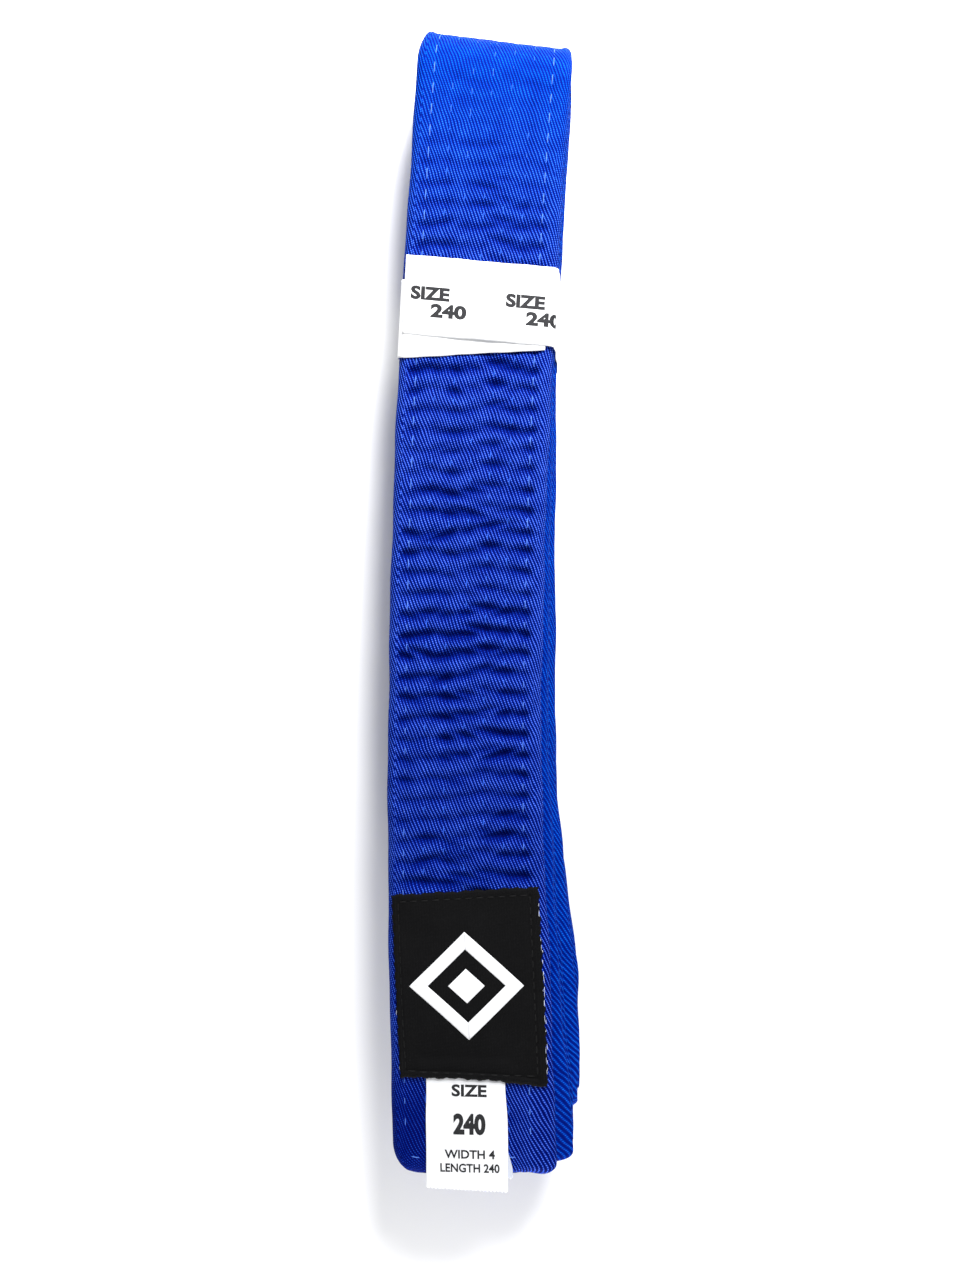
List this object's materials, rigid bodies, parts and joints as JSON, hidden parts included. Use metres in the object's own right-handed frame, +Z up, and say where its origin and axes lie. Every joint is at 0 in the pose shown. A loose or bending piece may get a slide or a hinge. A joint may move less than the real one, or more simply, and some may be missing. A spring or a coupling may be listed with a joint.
{
  "type": "martial arts belt",
  "caption": "Stitched cotton belt for martial arts, folded into a flat bundle, with a sewn patch, a size label and a paper band round it.",
  "frame": {"origin": "centre of the underside of the whole object, on the surface it lies on", "axes": "+X across the belt, +Y along the bundle towards its folded end, +Z up"},
  "size_m": [0.0408, 0.309, 0.0329],
  "materials": {
    "blue_twill": "cotton twill, slight sheen",
    "cotton_padding": "plain cotton",
    "blue_thread": "spun thread",
    "black_patch": "damask weave, slight sheen",
    "white_weave": "damask weave",
    "black_thread": "spun thread",
    "label_satin": "satin",
    "black_ink": "printed ink",
    "white_paper": "coated paper, semi-gloss",
    "grey_ink": "printed ink",
    "clear_glue": "dried glue"
  },
  "bodies": {
    "bundle": {"belt_cover": "blue_twill", "padding_strip_1": "cotton_padding", "padding_strip_2": "cotton_padding", "padding_strip_3": "cotton_padding", "padding_strip_4": "cotton_padding", "stitch_row_1": "blue_thread", "stitch_row_2": "blue_thread", "stitch_row_3": "blue_thread", "stitch_row_4": "blue_thread", "stitch_row_5": "blue_thread", "stitch_row_6": "blue_thread", "stitch_row_7": "blue_thread"},
    "belt_end": {"end_cover": "blue_twill", "end_padding_strip_1": "cotton_padding", "end_padding_strip_2": "cotton_padding", "end_padding_strip_3": "cotton_padding", "end_padding_strip_4": "cotton_padding", "end_stitch_row_1": "blue_thread", "end_stitch_row_2": "blue_thread", "end_stitch_row_3": "blue_thread", "end_stitch_row_4": "blue_thread", "end_stitch_row_5": "blue_thread", "end_stitch_row_6": "blue_thread", "end_stitch_row_7": "blue_thread", "tip_stitching": "blue_thread", "patch": "black_patch", "patch_emblem": "white_weave", "patch_stitching": "black_thread", "label_seam_allowance": "label_satin"},
    "label": {"size_label": "label_satin", "label_back_leaf": "label_satin", "label_print": "black_ink"},
    "band": {"paper_band": "white_paper", "band_glue": "clear_glue", "band_print": "grey_ink"}
  },
  "joints": [
    {"name": "belt_end_lift", "type": "hinge", "parent": "bundle", "child": "belt_end", "pos_m": [0, 0.06, 0.03025], "axis": [-1, 0, 0], "range_deg": [0, 90]},
    {"name": "label_lift", "type": "hinge", "parent": "belt_end", "child": "label", "pos_m": [-0.0003, -0.12714, 0.0325], "axis": [-1, 0, 0], "range_deg": [0, 120]},
    {"name": "band_slide", "type": "slide", "parent": "bundle", "child": "band", "axis": [0, 1, 0], "range_m": [0, 0.088]}
  ]
}
